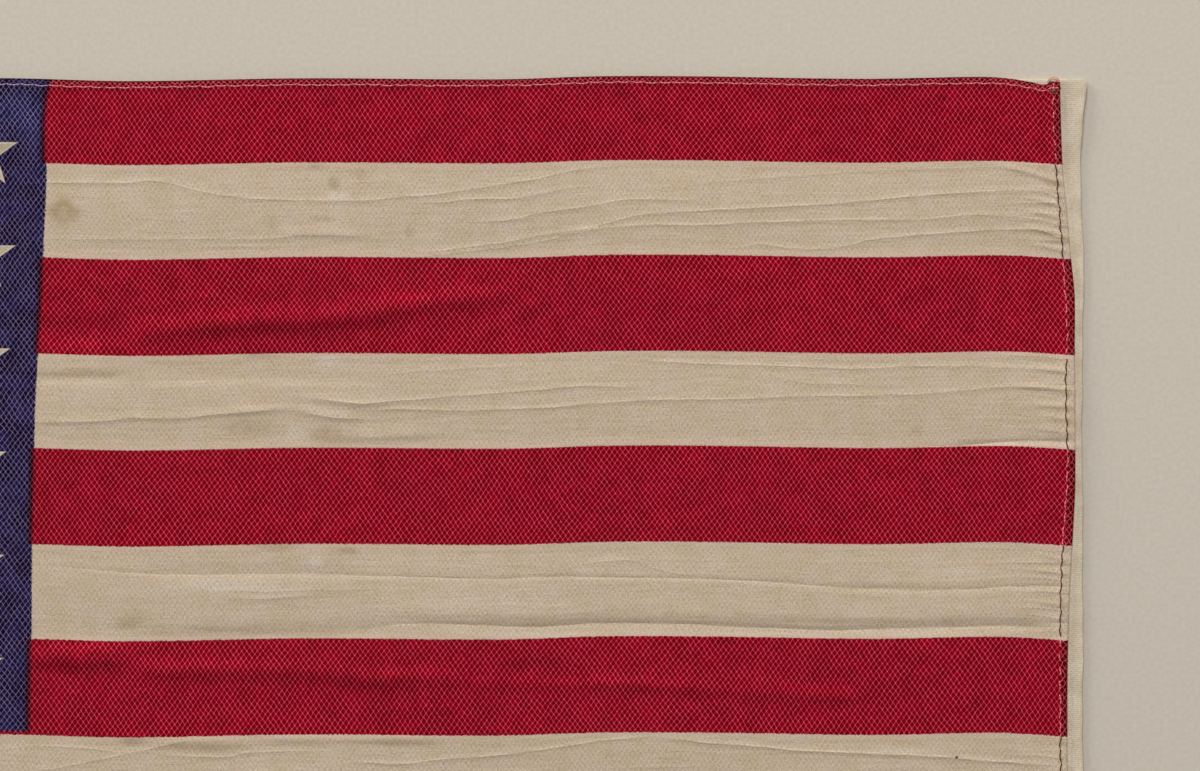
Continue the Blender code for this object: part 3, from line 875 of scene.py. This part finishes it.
def weave_fields(g, flat, turned, hem):
    """The diamond weave: its threads, where they cross, the spot inside each diamond, each one's chance,
    and how far the two sets of threads are shaken out of line."""
    wander = g.noise(flat, 0.022, 1.0) - 0.5
    wander_2 = g.noise(turned, 0.026, 1.0) - 0.5
    loose = 0.42 + 0.4 * hem
    shake = (g.noise(flat, 0.5, 2.0) - 0.5) * loose
    shake_2 = (g.noise(turned, 0.55, 2.0) - 0.5) * loose
    along, down, _ = g.split(flat)
    down = down + g.ramp(down, 0.0, 1.7) * 0.6
    first = along / WEAVE_WIDE + down / WEAVE_TALL + wander * 2.4 + shake
    second = along / WEAVE_WIDE - down / WEAVE_TALL + wander_2 * 2.4 + shake_2
    off = g.math("PINGPONG", first, 0.5)
    off_2 = g.math("PINGPONG", second, 0.5)
    thread = g.ramp(off, 0.13, 0.015)
    thread_2 = g.ramp(off_2, 0.13, 0.015)
    strength = g.ramp(g.noise(flat, 0.35, 2.0), 0.30, 0.60, 0.55, 1.0)
    strength_2 = g.ramp(g.noise(turned, 0.25, 2.0), 0.32, 0.64, 0.48, 1.0)
    net = g.math("MAXIMUM", thread * strength, thread_2 * strength_2)
    spot = g.ramp(off * off_2 * 4.0, 0.05, 0.24)
    cell = g.join(g.math("FLOOR", first), g.math("FLOOR", second))
    chance = g.node("ShaderNodeTexWhiteNoise", "Value", {"Vector": cell}, noise_dimensions="2D")
    return net, thread * thread_2, spot, chance, shake, shake_2


def painted_crease_light_and_shade(g, flat, in_red):
    """How much the colour is painted lighter or darker: a crease as a painted light line above a painted
    dark one, and the table's painted shade, light and stains.
    """
    away, strength, shade = g.split(g.attribute("folds"))
    away = away + (g.noise(flat, 0.35, 2.0) - 0.5) * 0.45
    along, down, _ = g.split(flat)
    light_noise = g.noise(g.join(along * 0.12, down * 0.3), 1.0, 3.0)
    dark_noise = g.noise(g.join(down * 0.3, along * 0.12), 1.0, 3.0)
    light = g.ramp(g.math("ABSOLUTE", away + 0.22), 0.26, 0.0) * g.ramp(light_noise, 0.34, 0.56)
    dark = g.ramp(g.math("ABSOLUTE", away - 0.16), 0.34, 0.0) * g.ramp(dark_noise, 0.30, 0.54, 0.25, 1.0)
    uneven = g.ramp(g.noise(flat, 0.5, 2.0), 0.3, 0.7, 0.7, 1.3)
    return (light * 1.9 - dark * 1.6) * strength - shade * uneven * (0.3 + in_red * 0.3)


def flag_material():
    """Printed cotton: stripes, canton, stars, the diamond weave and stains, with painted light and shade at
    creases, folds and the edge.
    """
    g = Graph("printed_cotton", roughness=0.95, specular=0.02)
    along, down, into = g.split(g.attribute("cloth"))
    flat = g.join(along, down)
    turned = g.join(down, along)
    from_side = g.math("MINIMUM", along, FLAG_LENGTH - along)
    from_top = g.math("MINIMUM", down, FLAG_HEIGHT - down)
    edge = g.math("MINIMUM", from_side, from_top)
    hem = g.ramp(edge, 2.4, 1.2)
    side_hem = g.ramp(from_side, 2.4, 1.2)
    net, knot, spot, chance, shake, shake_2 = weave_fields(g, flat, turned, hem)
    patch = g.noise(flat, 0.16, 3.0)
    slow = g.noise(flat, 0.028, 2.0)
    grain = g.noise(flat, 2.5, 2.0) - 0.5
    fine = g.noise(turned, 3.2, 1.0) - 0.5

    dark = spot * (0.4 + 0.55 * chance)
    top_hem = hem * (1.0 - side_hem)
    red = g.blend(g.ramp(patch, 0.35, 0.65), (122, 0, 17), (146, 0, 27))
    red = g.blend(dark, red, (107, 1, 12))
    red = g.blend(hem * spot * 0.4, red, (60, 0, 10))
    red = g.blend(net, red, (198, 54, 78))
    red = g.blend(knot * 0.8, red, (240, 136, 142))
    red = g.blend(net * top_hem * 0.38, red, (228, 132, 130))
    red = g.blend(net * side_hem * 0.3, red, (222, 140, 128))
    red = g.scaled(red, g.ramp(slow, 0.3, 0.7, 0.94, 0.98) - side_hem * 0.30)

    _, _, shade = g.split(g.attribute("folds"))
    blue = g.blend(g.ramp(patch, 0.3, 0.7), (24, 15, 42), (40, 34, 78))
    # Painted light: the canton goes lighter and bluer where the shade table paints light.
    blue = g.blend(g.ramp(shade, 0.0, -0.3, 0.0, 0.45), blue, (34, 44, 88))
    blue = g.blend(dark * 0.8, blue, (12, 4, 24))
    blue = g.blend(g.ramp(net, 0.1, 0.9), blue, (106, 92, 124))
    blue = g.blend(knot * 0.6, blue, (160, 152, 176))

    both = g.blend(dark, (44, 4, 22), (14, 0, 4))
    both = g.blend(net * 0.9, both, (110, 60, 76))

    streaks = g.noise(g.join(along * 0.10, down * 1.1), 0.9, 3.0) - 0.5
    threads = g.ramp(g.noise(g.join(along * 0.07, down * 1.3), 1.0, 2.0), 0.58, 0.72)
    blush = g.noise(turned, 0.22, 3.0)
    yellowed = g.ramp(patch, 0.25, 0.75) * 0.5 + g.ramp(g.noise(turned, 2.2, 2.0), 0.35, 0.65) * 0.5
    white = g.blend(yellowed, (185, 165, 135), (194, 176, 157))
    white = g.blend(g.ramp(blush, 0.45, 0.75, 0.0, 0.45), white, (192, 169, 154))
    # Painted shade: shaded places go yellow-brown, partly as stain; painted light: lit places go paler and
    # greyer.
    white = g.blend(g.ramp(shade, 0.0, 0.35, 0.0, 0.35), white, (178, 152, 118))
    white = g.blend(g.ramp(shade, 0.0, -0.25, 0.0, 0.45), white, (192, 181, 168))
    light = 1.0 + (net - 0.3) * 0.15 - spot * (0.03 + chance * 0.07)
    light = light + grain * 0.5 + fine * 0.6 + streaks * 0.12
    white = g.scaled(white, light + 0.005 + threads * 0.05)
    stain_x = (along - STAIN[0]) / STAIN_REACH[0] + (shake + shake_2) * 0.4
    stain_y = (down - STAIN[1]) / STAIN_REACH[1] + (shake - shake_2) * 0.4
    stain = g.ramp(g.math("ABSOLUTE", stain_x) + g.math("ABSOLUTE", stain_y), 1.15, 0.35)
    stain = stain * g.ramp(g.noise(flat, 0.4, 3.0), 0.3, 0.6, 0.5, 1.0)
    white = g.blend(stain * 0.85, white, (158, 136, 104))
    speck_x, speck_y = along - SPECK[0], down - SPECK[1]
    speck = g.ramp(speck_x * speck_x + speck_y * speck_y, SPECK_RADIUS**2, SPECK_RADIUS**2 / 3)
    white = g.blend(speck, white, (66, 42, 30))
    ragged = (shake + shake_2) * 0.2 + grain * 0.7
    white_side = stripe_field(g, down + ragged)
    white = g.blend(g.ramp(white_side, 1.8, 0.0, 0.0, 0.3) * (0.5 + chance), white, (208, 174, 160))

    canton_side = canton_field(g, down, into) + (shake - shake_2) * 0.3 + grain * 0.9
    soft = g.ramp(white_side, 0.3, -0.3, 0.12, 0.55)
    in_red = g.ramp(white_side, 0.1, -0.1)
    covered = in_red * g.ramp(into - PRINT_OVERLAP + grain * 2.0, 0.7, -0.7)
    in_blue = g.ramp(canton_side / soft, -1.0, 1.0)
    colour = g.blend(in_red, white, red)
    colour = g.blend(in_blue, colour, g.blend(covered, blue, both))
    lip = g.ramp(g.math("ABSOLUTE", white_side + 0.25), 0.25, 0.0) * g.ramp(chance, 0.3, 0.8)
    colour = g.scaled(colour, 1.0 - lip * 0.3)

    star_side = star_field(g, down, into)
    star = g.blend(g.ramp(star_side, 0.7, 0.1), (172, 156, 134), (190, 176, 158))
    star = g.scaled(star, 1.0 + grain * 0.6 + fine * 0.5)
    colour = g.blend(g.ramp(star_side, -0.12, 0.12), colour, star)

    # Painted highlights and shade of the creases, and the table's painted shade and light.
    colour = g.scaled(colour, 1.0 + painted_crease_light_and_shade(g, flat, in_red))
    # Painted shade: a ragged dark line along the cloth's edge on the red, weaker on the fly and hoist hems.
    rim = g.ramp(edge + grain * 1.2 + (shake - shake_2) * 0.3, 0.56, 0.25)
    colour = g.scaled(colour, 1.0 - rim * in_red * (0.5 + chance * 0.4) * (1.0 - side_hem * 0.75))
    height = net * 0.6 + knot * 0.4 + grain + streaks * 1.5
    return g.finish(colour, height, CLOTH_BUMP)


def thread_material():
    """Sewing thread, pink on red, dark brown on white and pale on blue."""
    g = Graph("hem_thread", roughness=0.8, specular=0.15)
    along, down, into = g.split(g.attribute("cloth"))
    twist = g.ramp(g.math("PINGPONG", (along + down) / 0.9, 0.5), 0.1, 0.4)
    on_white = g.ramp(stripe_field(g, down), -0.1, 0.1)
    on_canton = g.ramp(canton_field(g, down, into), -0.1, 0.1)
    pink = g.blend(twist, (186, 84, 92), (224, 130, 132))
    brown = g.blend(twist, (44, 26, 22), (112, 54, 44))
    pale = g.blend(twist, (120, 104, 140), (176, 154, 176))
    colour = g.blend(on_white, pink, brown)
    colour = g.blend(on_canton, colour, pale)
    return g.finish(colour, twist, THREAD_BUMP)


def corner_thread_material():
    """The pale tan thread of the corner."""
    g = Graph("corner_thread_tan", roughness=0.8, specular=0.1)
    left_of_fly, below_top, _ = g.split(g.attribute("cloth"))
    twist = g.ramp(g.math("PINGPONG", (left_of_fly + below_top) / 0.5, 0.5), 0.1, 0.4)
    loop = g.blend(twist, (196, 140, 112), (226, 178, 146))
    tack = g.blend(twist, (92, 50, 44), (138, 84, 66))
    return g.finish(g.blend(g.ramp(below_top, 1.4, 2.2), loop, tack), twist, THREAD_BUMP)


def backing_material():
    """Plain cream cotton with a fine even weave, painted lighter just beside the flag and painted darker
    toward the top.
    """
    g = Graph("cream_cotton", roughness=0.9, specular=0.1)
    along, down, beyond = g.split(g.attribute("cloth"))
    flat = g.join(along, down)
    patch = g.noise(flat, 0.2, 3.0)
    grain = g.noise(flat, 1.8, 2.0)
    weave = g.math("PINGPONG", along / 0.5, 0.5) + g.math("PINGPONG", down / 0.5, 0.5)
    colour = g.blend(g.ramp(patch, 0.3, 0.7), (194, 177, 153), (206, 191, 170))
    colour = g.scaled(colour, 0.97 + (grain - 0.5) * 0.5 + weave * 0.05)
    # Painted light just beside the flag's fly edge, and painted shade toward the top of the backing.
    painted_light_beside_flag = g.ramp(beyond, 1.2, 0.1, 0.0, 0.08)
    colour = g.scaled(colour, 1.0 + painted_light_beside_flag - g.ramp(down, 30.0, 8.0, 0.0, 0.14))
    return g.finish(colour, weave + grain, CLOTH_BUMP)


def floor_material():
    """A plain pale surface."""
    g = Graph("pale_floor", roughness=0.9, specular=0.1)
    x, y, _ = g.split(g.node("ShaderNodeTexCoord", "Object", {}))
    grain = g.noise(g.join(x, y), 900.0, 2.0)
    colour = g.blend(grain, (185, 176, 162), (198, 189, 176))
    return g.finish(colour, grain, FLOOR_BUMP)


def make_floor():
    """The surface that it lies on."""
    mesh = bpy.data.meshes.new("floor")
    corners = [(x * FLOOR_HALF, y * FLOOR_HALF, 0) for x, y in ((-1, -1), (1, -1), (1, 1), (-1, 1))]
    mesh.from_pydata(corners, [], [(0, 1, 2, 3)])
    mesh.materials.append(floor_material())
    floor = add("floor", mesh)
    floor.location.z = -FLOOR_DROP


def make_light():
    """Soft light from all round, a broad lamp beyond the top edge and a low one at the left."""
    world = bpy.data.worlds.new("studio")
    world.use_nodes = True
    background = world.node_tree.nodes["Background"]
    background.inputs["Color"].default_value = (1.0, 1.0, 1.0, 1.0)
    background.inputs["Strength"].default_value = SKY_STRENGTH
    bpy.context.scene.world = world
    for name, kind, energy, softness, place_at, aim in LAMPS:
        lamp = bpy.data.lights.new(name, kind)
        lamp.energy = energy
        if kind == "AREA":
            lamp.size = softness
        else:
            lamp.angle = softness
        lit = add(name, lamp)
        lit.location = place_at
        toward = lit.location - Vector(aim)
        lit.rotation_euler = toward.to_track_quat("Z", "Y").to_euler()


def make_camera():
    """Straight above, framed as the picture is."""
    middle_x = FLAG_LENGTH / 2 - (FLY_PIXEL - IMAGE_WIDTH / 2) / PIXELS_PER_MM
    middle_y = FLAG_HEIGHT / 2 - (IMAGE_HEIGHT / 2 - TOP_PIXEL) / PIXELS_PER_MM
    face = CLOTH_UNDER + CLOTH_THICK
    lens = bpy.data.cameras.new("camera")
    lens.lens = LENS
    lens.sensor_width = SENSOR
    camera = add("camera", lens)
    away = IMAGE_WIDTH / PIXELS_PER_MM * LENS / SENSOR
    camera.location = ((middle_x - CENTRE_X) * MM, (middle_y - CENTRE_Y) * MM, (face + away) * MM)
    bpy.context.scene.camera = camera


bpy.context.scene.view_settings.view_transform = "Standard"
make_camera()
make_light()
make_floor()

flag = make_flag()
backing = make_backing()
threads = [*make_stitches(), make_corner_thread()]

for piece in [flag, backing, *threads]:
    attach(piece, "root")
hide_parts("flag_cloth")
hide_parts("backing_cloth")
